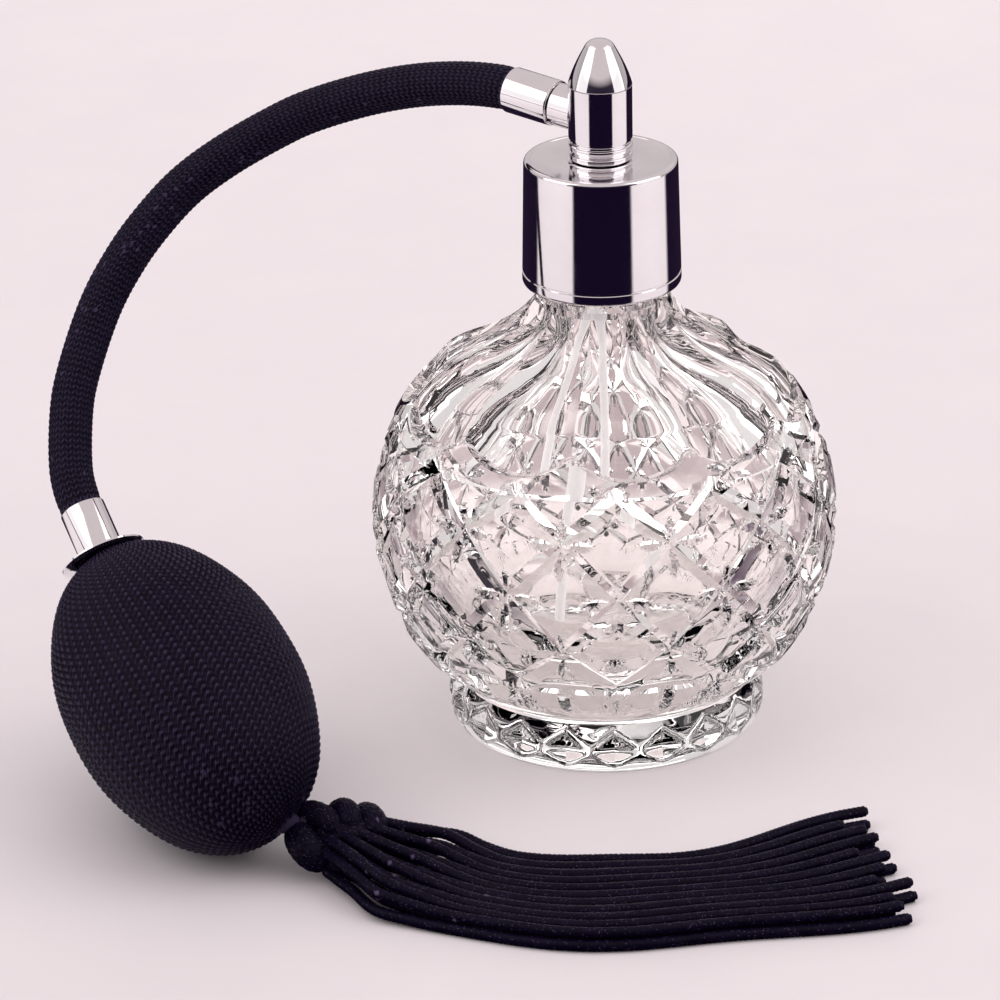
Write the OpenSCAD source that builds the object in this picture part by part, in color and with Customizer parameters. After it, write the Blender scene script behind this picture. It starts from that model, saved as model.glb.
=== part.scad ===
// Bulb atomiser: a cut-glass globe bottle with a screw collar, a side hose, a netted squeeze bulb and a tassel.
// Millimetres. +Z is up, the glass stands on z = 0 and its axis is the Z axis. The bulb lies at the front left.

/* [Glass] */
// Widest diameter of the glass globe
body_d = 80; // [76:0.5:84]
// Height of the ellipse that the globe follows
body_h = 77; // [75:0.5:79]
// Height of the globe's widest ring above the rest face
body_z = 37.5; // [37:0.1:38.5]
// Diameter of the flat rest face
foot_d = 51.4; // [48:0.2:54]
// Thickness of the pressed glass wall
glass_wall = 6.5; // [5:0.1:8]
// Long flutes cut into the shoulder
flutes = 10; // [8:1:13]
// Scallops cut round the foot
foot_scallops = 26; // [18:1:32]

/* [Neck] */
// Outside diameter of the screw neck, under its ridges
neck_d = 20.6; // [20:0.1:21]
// Outside diameter of the screw ridges
ridge_d = 21.9; // [21.6:0.1:22]
// Bore of the neck
mouth_d = 13; // [12.8:0.1:14]
// Height of the neck's top face
neck_top = 95.5; // [95.2:0.1:95.6]
// Lift of the collar for one turn
thread_pitch = 3; // [2:0.1:3.5]

/* [Collar and turret] */
// Diameter of the collar at its open end
collar_d = 26.8; // [26.6:0.1:28]
// Diameter of the collar at its flat top
collar_top_d = 25.8; // [25.8:0.1:26.6]
// Height of the collar's open end
collar_z = 79.9; // [79.7:0.1:80.1]
// Height of the collar's flat top
collar_top = 101.4; // [101.3:0.1:102]
// Diameter of the turret
turret_d = 10.7; // [10.4:0.1:11.2]
// Height of the turret's shoulder
turret_top = 114.3; // [113.8:0.1:115]
// Height of the turret's domed tip
tip_top = 122.2; // [121:0.1:124]
// Height of the hose port's axis where it meets the turret's axis
port_z = 108.6; // [108.4:0.1:109]
// Compass angle of the hose port, counter-clockwise from +X
port_turn = 145.9; // [140:0.1:150]
// Rise of the hose port above level
port_rise = 5.4; // [3:0.1:8]

/* [Hose] */
// Outside diameter of the braided sleeve
hose_d = 7.5; // [7.4:0.1:7.6]
// Outside diameter of both chrome ferrules
ferrule_d = 7.8; // [7.7:0.1:8.2]
// Length of the upper ferrule
ferrule_len = 8.9; // [8:0.1:10]

/* [Bulb] */
// Length of the netted bulb
bulb_len = 66.6; // [64:0.2:68]
// Diameter of the netted bulb
bulb_d = 40.4; // [39:0.2:41.6]
// Thickness of the rubber wall
rubber_wall = 2.2; // [1.8:0.1:2.6]
// Thickness of the knitted net
net_wall = 0.6; // [0.5:0.1:0.8]
// How far the thumb wall can be pressed in
squeeze = 10; // [6:0.5:11]

/* [Tassel] */
// Diameter of one knitted tassel strand
strand_d = 1.9; // [1.6:0.1:2]
// Distance along the floor from the knot to the strand ends
tassel_len = 91; // [86:0.5:94]

/* [Hidden] */
$fn = 64;
running_gap = 0.05;
moving_gap = 0.3;
strand_rows = 4;
strand_cols = [6, 5, 6, 5];
STRANDS = [for (row = [0:strand_rows - 1]) for (col = [0:strand_cols[row] - 1]) [row, col]];
function strand_name(i) = str("tassel_strand_", i < 9 ? "0" : "", i + 1);

// ---- Directions and places ----
function heading(turn, rise) = [cos(rise) * cos(turn), cos(rise) * sin(turn), sin(rise)];
function ellipse_r(z, middle, r, half) = r * sqrt(1 - pow((z - middle) / half, 2));
function bezier(a, b, c, d, t) =
    pow(1 - t, 3) * a + 3 * pow(1 - t, 2) * t * b + 3 * (1 - t) * t * t * c + t * t * t * d;
function bezier_run(a, b, c, d, steps) = [for (i = [1:steps]) bezier(a, b, c, d, i / steps)];

turret_r = turret_d / 2;
port = [0, 0, port_z];
port_dir = heading(port_turn, port_rise);
nozzle_turn = port_turn - 90;
boss_start = 3.9;
boss_end = 8.6;
ferrule_start = 8.7;
hose_top_end = port + (ferrule_start + ferrule_len) * port_dir;
bore_core = 2.5;

bulb_dir = heading(115.2, 18);
bulb_half = bulb_len / 2;
bulb_r = bulb_d / 2;
bulb_rise = sqrt(pow(bulb_r, 2) + (pow(bulb_half, 2) - pow(bulb_r, 2)) * pow(bulb_dir[2], 2));
bulb_at = [-70.8, -38.1, bulb_rise];
rubber_inset = net_wall + moving_gap;
rubber_half = bulb_half - rubber_inset;
rubber_r = bulb_r - rubber_inset;
thumb_dir = heading(295.2, 72);
thumb_r = 12.7;

flange_at = [-85.2, -13.3, 36.8];
flange_dir = heading(122.2, 42.8);
flange_r = 7.4;
flange_under = -1;
flange_top = 0.5;
lower_ferrule_end = 8.9;
hose_low_end = flange_at + lower_ferrule_end * flange_dir;
pocket_floor = flange_under - running_gap;
bulb_neck_in = -9;
rubber_neck_r = 5.4;

valve_r = 2.3;
valve_len = 5;
seat_len = 1.2;
seat_r = 0.9;
chamber_r = 1.6;
ball_r = 1.25;
ball_rest = seat_len + sqrt(pow(ball_r, 2) - pow(seat_r, 2)) + 0.03;

// The hose's free run, from the bulb's ferrule up and over to the turret's ferrule
HOSE_ROUTE = concat([hose_low_end + 0.04 * flange_dir, hose_low_end + 1.2 * flange_dir],
    [[-90.5, -3.5, 47.5], [-90.5, 4, 56.5], [-89.5, 7.5, 61], [-85.5, 14.5, 71], [-81.5, 18, 77.5],
     [-77.5, 20.5, 82.5], [-71, 23, 89], [-64, 24, 94], [-54.5, 24, 99.5], [-49.5, 23.5, 102],
     [-39, 21, 106], [-30, 18, 108.5], [-21.5, 14, 110]],
    [hose_top_end + 1.2 * port_dir, hose_top_end + 0.04 * port_dir]);
CORE_ROUTE = concat([flange_at + 1 * flange_dir], HOSE_ROUTE, [port + 9.2 * port_dir]);

module along(from, dir) {
    translate(from) rotate([0, acos(dir[2] / norm(dir)), atan2(dir[1], dir[0])]) children();
}

// A disc or tube on the local Z axis between two heights; bore = 0 leaves it solid
module ring(r, bore, z0, z1) {
    rotate_extrude() translate([bore, z0]) square([r - bore, z1 - z0]);
}

// A tube with a small chamfer on its outer rims
module soft_ring(r, bore, z0, z1, edge) {
    rotate_extrude() polygon([[bore, z0], [r - edge, z0], [r, z0 + edge], [r, z1 - edge], [r - edge, z1], [bore, z1]]);
}

module egg(half, r) {
    steps = 28;
    rotate_extrude() polygon([for (i = [0:steps]) [r * sin(i * 180 / steps), -half * cos(i * 180 / steps)]]);
}

// ---- Swept tubes ----
function unit(v) = v / norm(v);
function tangent(path, i) = unit(path[min(i + 1, len(path) - 1)] - path[max(i - 1, 0)]);
function ring_points(path, r, sides, side_ref) = [for (i = [0:len(path) - 1])
    let (t = tangent(path, i), u = unit(cross(t, side_ref)), v = cross(t, u))
    for (k = [0:sides - 1]) path[i] + r * (cos(k * 360 / sides) * u + sin(k * 360 / sides) * v)];
function skin(rings, sides, base, inward) = [for (i = [0:rings - 2]) for (k = [0:sides - 1])
    let (a = base + i * sides + k, b = base + i * sides + (k + 1) % sides)
    each (inward ? [[a, b, b + sides], [a, b + sides, a + sides]]
                 : [[a, b + sides, b], [a, a + sides, b + sides]])];
function washer(sides, outer, inner, flip) = [for (k = [0:sides - 1])
    let (n = (k + 1) % sides)
    each (flip ? [[outer + k, inner + n, outer + n], [outer + k, inner + k, inner + n]]
               : [[outer + k, outer + n, inner + n], [outer + k, inner + n, inner + k]])];

module swept_cord(path, r, sides, side_ref) {
    rings = len(path);
    last = (rings - 1) * sides;
    polyhedron(ring_points(path, r, sides, side_ref), concat(skin(rings, sides, 0, false),
        [[for (k = [0:sides - 1]) k]], [[for (k = [sides - 1:-1:0]) last + k]]));
}

module swept_tube(path, r, bore, sides, side_ref) {
    rings = len(path);
    inner = rings * sides;
    last = (rings - 1) * sides;
    polyhedron(concat(ring_points(path, r, sides, side_ref), ring_points(path, bore, sides, side_ref)),
        concat(skin(rings, sides, 0, false), skin(rings, sides, inner, true),
            washer(sides, 0, inner, false), washer(sides, last, inner + last, true)));
}

// ---- Glass ----
shoulder_r = 29.3;
shoulder_z = 63.6;
throat_r = 11.5;
throat_z = 76.8;

function globe_outline() =
    let (r = body_d / 2, half = body_h / 2,
         low = asin((15 - body_z) / half), high = asin((shoulder_z - body_z) / half), arc_steps = 20,
         join = [r * cos(low), 15])
    concat([[0, 0], [foot_d / 2, 0]],
        bezier_run([foot_d / 2, 0], [27.9, 1.5], [27.6, 5.5], [25.9, 9], 7),
        bezier_run([25.9, 9], [25.9, 10.4], [29.4, 11.8], join, 5),
        [for (i = [1:arc_steps]) let (a = low + (high - low) * i / arc_steps) [r * cos(a), body_z + half * sin(a)]],
        bezier_run([r * cos(high), shoulder_z], [24, 68], [17.5, 67.6], [throat_r, throat_z], 10),
        [[throat_r, 78], [neck_d / 2, 79.2], [neck_d / 2, neck_top - 0.5], [neck_d / 2 - 0.5, neck_top], [0, neck_top]]);

function cavity_outline() =
    let (r = body_d / 2 - glass_wall, floor_z = 10, half = 27.5, middle = floor_z + half, steps = 18, high = 62)
    concat([for (i = [0:steps]) let (a = -90 + (90 + high) * i / steps) [r * cos(a), middle + half * sin(a)]],
        bezier_run([r * cos(high), middle + half * sin(high)], [11, 64.5], [mouth_d / 2, 66], [mouth_d / 2, 71], 6),
        [[mouth_d / 2, neck_top + 1], [0, neck_top + 1]]);

module screw_ridge(z) {
    r = neck_d / 2;
    rotate_extrude() polygon([[r - 1, z - 1], [r, z - 0.9], [ridge_d / 2, z - 0.3], [ridge_d / 2, z + 0.3],
                              [r, z + 0.9], [r - 1, z + 1]]);
}

module glass_bottle() {
    flute_r = 24;
    flute_depth = 2.4;
    first_flute = -82.76;
    scallop_r = 3;
    color([0.86, 0.9, 0.94, 0.5]) difference() {
        union() {
            rotate_extrude() polygon(globe_outline());
            screw_ridge(86);
            screw_ridge(86 + thread_pitch);
        }
        rotate_extrude() polygon(cavity_outline());
        for (i = [0:flutes - 1]) rotate(first_flute + i * 360 / flutes)
            translate([28.6, 0, 64.2]) rotate([0, -52, 0])
                translate([flute_r - flute_depth, 0, -11]) cylinder(r = flute_r, h = 28);
        for (i = [0:foot_scallops - 1]) rotate(i * 360 / foot_scallops)
            translate([27.3 + scallop_r - 0.9, 0, 1.5]) cylinder(r = scallop_r, h = 5.5);
    }
}

// ---- Sprayer inside the neck ----
gasket_top = neck_top + 0.8;
stem_flange_top = gasket_top + 1.5;
stem_r = 3.15;
stem_top = 111.4;
plug_low = 87.5;
socket_top = 92;

module neck_gasket() {
    color("dimgray") ring(10.2, 6.4, neck_top + running_gap, gasket_top);
}

module sprayer_stem() {
    groove = 1.1;
    color("whitesmoke") difference() {
        union() {
            ring(6.3, 0, plug_low, gasket_top);
            ring(10.2, 0, gasket_top, stem_flange_top);
            ring(stem_r, 0, stem_flange_top, stem_top);
        }
        ring(1.5 + running_gap, 0, plug_low - 1, socket_top);
        ring(0.6, 0, socket_top - 1, port_z + groove);
        ring(stem_r + 1, 2.2, port_z - groove, port_z + groove);
        ring(stem_r + 1, 2.3, 104.1, 105);
        along([0, 0, port_z], [0, 1, 0]) translate([0, 0, -4]) cylinder(r = 0.5, h = 8);
        translate([4.6, 0, plug_low - 1]) cylinder(r = 0.4, h = 12);
    }
}

module stem_o_ring() {
    section = 0.4;
    color("black") translate([0, 0, 104.55]) rotate_extrude()
        translate([stem_r - section, 0]) circle(r = section, $fn = 24);
}

// Straight out of the stem, then leaning to one side of the globe
DIP_ROUTE = [[0, 0, socket_top - running_gap], [0, 0, 86], [-0.7, 0, 78], [-4.2, 0, 48], [-8.8, 0, 12]];

module dip_tube() {
    color("gainsboro") difference() {
        swept_tube(DIP_ROUTE, 1.5, 1, 24, [0, 1, 0]);
        translate([-8.8, 0, 11]) rotate([0, 30, 0]) cube([8, 8, 2], center = true);
    }
}

// ---- Screw collar ----
collar_wall = 0.6;
collar_hole = 3.5;

module collar_shell() {
    low = collar_d / 2;
    high = collar_top_d / 2;
    edge = 1.1;
    color("silver") rotate_extrude() polygon(concat(
        [[low - collar_wall, collar_z], [low - 0.15, collar_z], [low, collar_z + 0.3]],
        [for (a = [0:15:90]) [high - edge + edge * cos(a), collar_top - edge + edge * sin(a)]],
        [[collar_hole, collar_top], [collar_hole, collar_top - 1], [high - collar_wall, collar_top - 1]]));
}

module collar_insert() {
    r = collar_top_d / 2 - collar_wall - running_gap;
    color("white") difference() {
        ring(r, collar_hole, collar_z + 0.7, collar_top - 1 - running_gap);
        ring(ridge_d / 2 + 0.1, 0, collar_z - 1, stem_flange_top + moving_gap);
    }
}

// ---- Turret ----
turret_low = collar_top + 0.15;
ring_top = turret_low + 3.7;
turret_bore = stem_r + running_gap;
spigot_low = 111.8;

module swivel_ring() {
    color("silver") rotate_extrude() polygon([
        [turret_bore, turret_low], [turret_r - 0.3, turret_low], [turret_r, turret_low + 0.3],
        [turret_r, 102.6], [turret_r - 0.35, 102.8], [turret_r - 0.35, 103.1], [turret_r, 103.3],
        [turret_r, 104.2], [turret_r - 0.25, 104.4], [turret_r - 0.25, ring_top], [turret_bore, ring_top]]);
}

module turret_body() {
    color("silver") difference() {
        ring(turret_r, turret_bore, ring_top + 0.02, turret_top);
        along(port, port_dir) cylinder(r = 2.05, h = 10);
        along(port, heading(nozzle_turn, 0)) cylinder(r = 1.6, h = 10);
    }
}

module turret_tip() {
    color("silver") rotate_extrude() polygon(concat(
        [[0, spigot_low], [turret_bore - 0.05, spigot_low], [turret_bore - 0.05, turret_top + 0.02],
         [turret_r - 0.1, turret_top + 0.02], [turret_r, turret_top + 0.2]],
        bezier_run([turret_r, turret_top + 0.2], [4.7, 117], [3.4, 119.4], [2.5, 121], 7),
        bezier_run([2.5, 121], [2.2, 121.7], [1.4, tip_top], [0, tip_top], 6)));
}

module nozzle_insert() {
    color("gold") along(port, heading(nozzle_turn, 0)) difference() {
        ring(1.55, 0.25, 3.35, turret_r - 0.15);
        ring(0.8, 0, turret_r - 0.7, turret_r);
        ring(0.9, 0, 3, 4.1);
    }
}

// ---- Hose fittings and hose ----
module barb(z0, z1) {
    rotate_extrude() polygon([[0, z0], [1, z0], [1, z0 + 1], [1.25, z0 + 1.2], [1, z0 + 3.2], [1.25, z0 + 3.4],
                              [1, z0 + 5.4], [1.25, z0 + 5.6], [0.9, z1], [0, z1]]);
}

module hose_nipple() {
    color("silver") difference() {
        union() {
            difference() {
                along(port, port_dir) soft_ring(3.6, 0, boss_start, boss_end, 0.3);
                ring(turret_r + 0.02, 0, port_z - 8, port_z + 8);
            }
            along(port, port_dir) {
                ring(2, 0, 3.6, boss_start + 2);
                barb(boss_end, 16.5);
            }
        }
        along(port, port_dir) translate([0, 0, 3]) cylinder(r = 0.6, h = 15);
    }
}

module upper_ferrule() {
    color("silver") along(port, port_dir)
        soft_ring(ferrule_d / 2, bore_core, ferrule_start, ferrule_start + ferrule_len, 0.2);
}

module hose_core() {
    color("dimgray") swept_tube(CORE_ROUTE, 2.4, 1.4, 12, [0.56, 0.83, 0]);
}

module hose_sleeve() {
    color("black") swept_tube(HOSE_ROUTE, hose_d / 2, 2.65, 12, [0.56, 0.83, 0]);
}

module lower_ferrule() {
    color("silver") along(flange_at, flange_dir)
        soft_ring(ferrule_d / 2, bore_core, flange_top + 0.05, lower_ferrule_end, 0.2);
}

module bulb_stem() {
    color("silver") along(flange_at, flange_dir) difference() {
        union() {
            ring(3, 0, bulb_neck_in, 0);
            rotate_extrude() polygon([[0, flange_under], [flange_r - 1, flange_under], [flange_r, flange_under + 0.3],
                [flange_r, flange_under + 0.6], [5.4, -0.1], [4.4, flange_top], [0, flange_top]]);
            barb(flange_top, 8);
        }
        ring(valve_r, 0, bulb_neck_in - 1, bulb_neck_in + valve_len);
        ring(0.7, 0, bulb_neck_in + valve_len - 1, 9);
    }
}

// ---- Ball check valves: the ball seats at the low end and lifts towards the chamber ----
module valve_body() {
    difference() {
        ring(valve_r - 0.02, 0, 0, valve_len);
        ring(seat_r, 0, -1, seat_len + 1);
        ring(chamber_r, 0, seat_len, valve_len + 1);
    }
}

intake_at = bulb_at - rubber_half * bulb_dir;
outlet_at = flange_at + bulb_neck_in * flange_dir;

module outlet_valve_body() {
    color("goldenrod") along(outlet_at, flange_dir) valve_body();
}

module outlet_valve_ball() {
    color("silver") along(outlet_at, flange_dir) translate([0, 0, ball_rest]) sphere(r = ball_r);
}

module intake_valve_body() {
    color("goldenrod") along(intake_at, bulb_dir) valve_body();
}

module intake_valve_cap() {
    color("goldenrod") along(intake_at, bulb_dir) ring(valve_r - 0.02, 0.8, valve_len + 0.02, valve_len + 1);
}

module intake_valve_ball() {
    color("silver") along(intake_at, bulb_dir) translate([0, 0, ball_rest]) sphere(r = ball_r);
}

// ---- Bulb ----
module rubber_wall_shape() {
    difference() {
        along(bulb_at, bulb_dir) egg(rubber_half, rubber_r);
        along(bulb_at, bulb_dir) egg(rubber_half - rubber_wall, rubber_r - rubber_wall);
    }
}

module flange_pocket() {
    along(flange_at, flange_dir) ring(flange_r + 0.4, 0, pocket_floor, 14);
}

module rubber_bulb() {
    color("black") difference() {
        union() {
            rubber_wall_shape();
            along(flange_at, flange_dir) ring(rubber_neck_r, 0, bulb_neck_in + 0.5, pocket_floor);
            along(intake_at, bulb_dir) ring(4.4, 0, 1.2, valve_len + 1);
        }
        along(bulb_at, thumb_dir) cylinder(r = thumb_r + moving_gap, h = bulb_r + 2);
        flange_pocket();
        along(flange_at, flange_dir) ring(3 + 0.02, 0, bulb_neck_in - 4, 2);
        along(intake_at, bulb_dir) ring(valve_r, 0, -2, valve_len + 3);
    }
}

module bulb_thumb_wall() {
    color("black") intersection() {
        rubber_wall_shape();
        along(bulb_at, thumb_dir) cylinder(r = thumb_r, h = bulb_r + 2);
    }
}

knot_at = [-47.3, -58.5, 6.2];
gather_at = [-55.5, -56.8, 10];
net_neck_dir = knot_at - gather_at;
net_neck_r = 2.4;
net_neck_end = 5.4;

module bulb_net() {
    color("black") difference() {
        union() {
            along(bulb_at, bulb_dir) egg(bulb_half, bulb_r);
            along(gather_at, net_neck_dir) ring(net_neck_r, 0, 0, net_neck_end);
        }
        along(bulb_at, bulb_dir) egg(bulb_half - net_wall, bulb_r - net_wall);
        flange_pocket();
        along(flange_at, flange_dir) ring(rubber_neck_r + 0.3, 0, bulb_neck_in, 1);
    }
}

module net_binding() {
    turns = 2;
    thread = 0.32;
    color("black") along(gather_at, net_neck_dir) for (i = [0:turns - 1])
        translate([0, 0, 4.68 + i * 1.1 * thread]) ring(net_neck_r + 0.5, net_neck_r + 0.02, 0, thread);
}

// ---- Tassel ----
module tassel_knot() {
    color("black") difference() {
        hull() {
            translate(knot_at) sphere(r = 5.2, $fn = 20);
            translate([-40.8, -57, 7]) sphere(r = 3.9, $fn = 16);
            translate([-43.8, -63.5, 4.4]) sphere(r = 4.4, $fn = 16);
            translate([-41.5, -60.3, 4.8]) sphere(r = 4.6, $fn = 16);
        }
        along(gather_at, net_neck_dir) ring(net_neck_r + 0.6, 0, -2, net_neck_end + 0.02);
    }
}

// Strands leave the knot in four close rows and settle into two flat layers on the floor.
// t runs from 0 at the knot to 1 at the tips; side is the place across the bundle.
knot_face = [-43, -60];
layer_rise = 1.75;
function smooth(t) = t <= 0 ? 0 : t >= 1 ? 1 : t * t * (3 - 2 * t);
function bundle_line(t) = [knot_face[0] + tassel_len * t, knot_face[1] - 4 * t - 14.9 * sin(180 * pow(t, 0.87))];
function bundle_normal(t) =
    let (d = bundle_line(min(t + 0.01, 1)) - bundle_line(max(t - 0.01, 0))) [-d[1], d[0]] / norm(d);
function strand_side(row, col) = col - 2.5 + 0.5 * (row % 2);
function strand_pitch(t) = 2.4 + 2.4 * smooth(t / 0.12) + 1.6 * smooth((t - 0.55) / 0.45);
function strand_height(row, t) =
    let (start = 2.2 + layer_rise * row, rest = strand_d / 2 + 0.02 + (row > 1 ? 1.7 : 0))
    start + (rest - start) * smooth(t / 0.24);
function strand_point(row, col, t) =
    let (side = strand_side(row, col), shift = (row > 1 ? 0.25 : 0) * smooth(t / 0.16),
         wave = 0.7 * smooth(t / 0.3) * sin(800 * t + 28 * side),
         across = (side + shift) * strand_pitch(t) + wave,
         flat = bundle_line(t) + across * bundle_normal(t))
    [flat[0], flat[1], strand_height(row, t)];
function strand_reach(i) = 0.95 + 0.012 * strand_side(STRANDS[i][0], STRANDS[i][1]) + 0.03 * sin(97 * i);
function strand_path(i) = let (steps = 17, s = STRANDS[i])
    [for (j = [0:steps]) strand_point(s[0], s[1], strand_reach(i) * j / steps)];

module tassel_strand(i) {
    color("black") swept_cord(strand_path(i), strand_d / 2, 8, [0, 0, 1]);
}

glass_bottle();
neck_gasket();
sprayer_stem();
stem_o_ring();
dip_tube();
collar_shell();
collar_insert();
swivel_ring();
turret_body();
turret_tip();
nozzle_insert();
hose_nipple();
upper_ferrule();
hose_core();
hose_sleeve();
lower_ferrule();
bulb_stem();
outlet_valve_body();
outlet_valve_ball();
rubber_bulb();
bulb_thumb_wall();
intake_valve_body();
intake_valve_cap();
intake_valve_ball();
bulb_net();
net_binding();
tassel_knot();
for (i = [0:len(STRANDS) - 1]) tassel_strand(i);
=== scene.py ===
"""Bulb atomiser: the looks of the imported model.

Lengths are worked in millimetres and turned into metres at the mesh.
"""

import math

import bpy
import numpy as np
from mathutils import Matrix, Vector


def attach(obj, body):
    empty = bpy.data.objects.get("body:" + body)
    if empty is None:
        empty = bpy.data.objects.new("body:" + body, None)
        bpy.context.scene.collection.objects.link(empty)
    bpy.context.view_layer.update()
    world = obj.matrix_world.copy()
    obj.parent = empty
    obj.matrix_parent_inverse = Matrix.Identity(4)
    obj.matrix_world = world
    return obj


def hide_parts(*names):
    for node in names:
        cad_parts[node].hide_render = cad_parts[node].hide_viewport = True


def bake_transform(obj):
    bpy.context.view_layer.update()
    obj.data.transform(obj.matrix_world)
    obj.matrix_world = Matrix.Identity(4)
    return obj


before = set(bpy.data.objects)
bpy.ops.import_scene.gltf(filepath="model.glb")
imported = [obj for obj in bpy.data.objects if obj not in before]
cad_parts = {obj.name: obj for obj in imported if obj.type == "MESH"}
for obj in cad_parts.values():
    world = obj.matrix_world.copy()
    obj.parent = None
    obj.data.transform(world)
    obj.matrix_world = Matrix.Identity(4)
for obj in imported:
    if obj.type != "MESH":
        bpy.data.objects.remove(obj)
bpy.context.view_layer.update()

MM = 0.001
TAU = 2 * math.pi
NEARLY_UPRIGHT = 0.95
END_DOME = 0.15  # how far a tube's closed end stands out
scene = bpy.context.scene


# ---- Small vector helpers, all in millimetres ----
def vec(*xyz):
    return np.array(xyz, float)


def unit(v):
    v = np.asarray(v, float)
    return v / np.linalg.norm(v, axis=-1, keepdims=True)


def heading(turn, rise):
    a, b = math.radians(turn), math.radians(rise)
    return vec(math.cos(b) * math.cos(a), math.cos(b) * math.sin(a), math.sin(b))


def smooth(t):
    t = np.clip(t, 0, 1)
    return t * t * (3 - 2 * t)


def basis(direction):
    """Two unit vectors square to a direction."""
    d = unit(direction)
    ref = vec(1, 0, 0) if abs(d[2]) > NEARLY_UPRIGHT else vec(0, 0, 1)
    side = unit(np.cross(ref, d))
    return side, np.cross(d, side)


def bezier(a, b, c, d, steps):
    t = np.linspace(0, 1, steps + 1)[1:, None]
    a, b, c, d = (np.array(p, float) for p in (a, b, c, d))
    return (1 - t) ** 3 * a + 3 * (1 - t) ** 2 * t * b + 3 * (1 - t) * t * t * c + t**3 * d


# ---- Meshes ----
def make_mesh(name, verts, faces, sharp=None):
    """A mesh object from points in mm and faces, given as arrays of equal-sided faces or as lists."""
    mesh = bpy.data.meshes.new(name)
    sizes, loops = [], []
    for group in faces:
        group = np.asarray(group, np.int32)
        if group.ndim == 1:
            group = group[None, :]
        sizes.append(np.full(len(group), group.shape[1], np.int32))
        loops.append(group.ravel())
    sizes, loops = np.concatenate(sizes), np.concatenate(loops)
    mesh.vertices.add(len(verts))
    mesh.vertices.foreach_set("co", (np.asarray(verts, np.float64) * MM).astype(np.float32).ravel())
    mesh.loops.add(len(loops))
    mesh.loops.foreach_set("vertex_index", loops)
    mesh.polygons.add(len(sizes))
    mesh.polygons.foreach_set("loop_start", np.concatenate([[0], np.cumsum(sizes)[:-1]]).astype(np.int32))
    mesh.update(calc_edges=True)
    mesh.validate()
    mesh.polygons.foreach_set("use_smooth", np.ones(len(mesh.polygons), bool))
    if sharp is not None:
        mesh.set_sharp_from_angle(angle=math.radians(sharp))
    ob = bpy.data.objects.new(name, mesh)
    scene.collection.objects.link(ob)
    return ob


def grid_quads(rows, cols, base=0, flip=False):
    """Faces of a grid that closes on itself along its columns."""
    r, c = np.meshgrid(np.arange(rows - 1), np.arange(cols), indexing="ij")
    n = (c + 1) % cols
    a, b = base + r * cols + c, base + r * cols + n
    quads = np.stack([a, b, b + cols, a + cols], -1).reshape(-1, 4)
    return quads[:, ::-1] if flip else quads


def fan(ring, tip, flip=False):
    """Triangles from a ring of point numbers to one point."""
    ring = np.asarray(ring)
    after = np.roll(ring, -1)
    tris = np.stack([ring, after, np.full(len(ring), tip)], -1)
    return tris[:, ::-1] if flip else tris


def lathe(name, profile, at=(0, 0, 0), axis=(0, 0, 1), cols=128, sharp=28):
    """A closed turned solid. The profile is (r, along) pairs, counter-clockwise seen with r to the right."""
    profile = np.array(profile, float)
    side, up = basis(axis)
    turn = np.arange(cols) * TAU / cols
    spoke = np.cos(turn)[:, None] * side + np.sin(turn)[:, None] * up
    on_axis = profile[:, 0] < 1e-6
    verts, rings = [], []
    for (r, h), centre in zip(profile, on_axis):
        foot = np.array(at, float) + h * unit(axis)
        rings.append((len(verts), centre))
        verts.extend([foot] if centre else list(foot + r * spoke))
    faces = []
    for k in range(len(profile)):
        (a, a_mid), (b, b_mid) = rings[k], rings[(k + 1) % len(profile)]
        if a_mid and b_mid:
            continue
        i = np.arange(cols)
        n = (i + 1) % cols
        if a_mid:
            faces.append(np.stack([np.full(cols, a), b + n, b + i], -1))
        elif b_mid:
            faces.append(np.stack([a + i, a + n, np.full(cols, b)], -1))
        else:
            faces.append(np.stack([a + i, a + n, b + n, b + i], -1))
    return make_mesh(name, verts, faces, sharp)


def rounded(profile, corners, steps=5):
    """A profile with the named corners rounded: corners is {index: radius}."""
    out, n = [], len(profile)
    for k, p in enumerate(profile):
        p = np.array(p, float)
        if k not in corners:
            out.append(p)
            continue
        a, b = np.array(profile[k - 1], float), np.array(profile[(k + 1) % n], float)
        start, end = p + corners[k] * unit(a - p), p + corners[k] * unit(b - p)
        t = np.linspace(0, 1, steps + 1)[:, None]
        out.extend((1 - t) ** 2 * start + 2 * (1 - t) * t * p + t * t * end)
    return out


# ---- Curves ----
def spline(points, start=None, end=None, per=24):
    """A smooth run through points, with its end directions if they're given."""
    p = np.array(points, float)
    n = len(p)
    chord = np.sqrt(np.linalg.norm(np.diff(p, axis=0), axis=1))
    knot = np.concatenate([[0], np.cumsum(chord)])
    slope = np.zeros_like(p)
    for i in range(1, n - 1):
        before = (p[i] - p[i - 1]) / chord[i - 1]
        after = (p[i + 1] - p[i]) / chord[i]
        slope[i] = (before * chord[i] + after * chord[i - 1]) / (chord[i - 1] + chord[i])
    first, last = p[1] - p[0], p[-1] - p[-2]
    slope[0] = (first if start is None else unit(start) * np.linalg.norm(first)) / chord[0]
    slope[-1] = (last if end is None else unit(end) * np.linalg.norm(last)) / chord[-1]
    out = []
    for i in range(n - 1):
        t = np.linspace(0, 1, per, endpoint=False)[:, None]
        h = knot[i + 1] - knot[i]
        out.append((2 * t**3 - 3 * t * t + 1) * p[i] + (t**3 - 2 * t * t + t) * h * slope[i]
                   + (3 * t * t - 2 * t**3) * p[i + 1] + (t**3 - t * t) * h * slope[i + 1])
    return np.concatenate(out + [p[-1:]])


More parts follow.
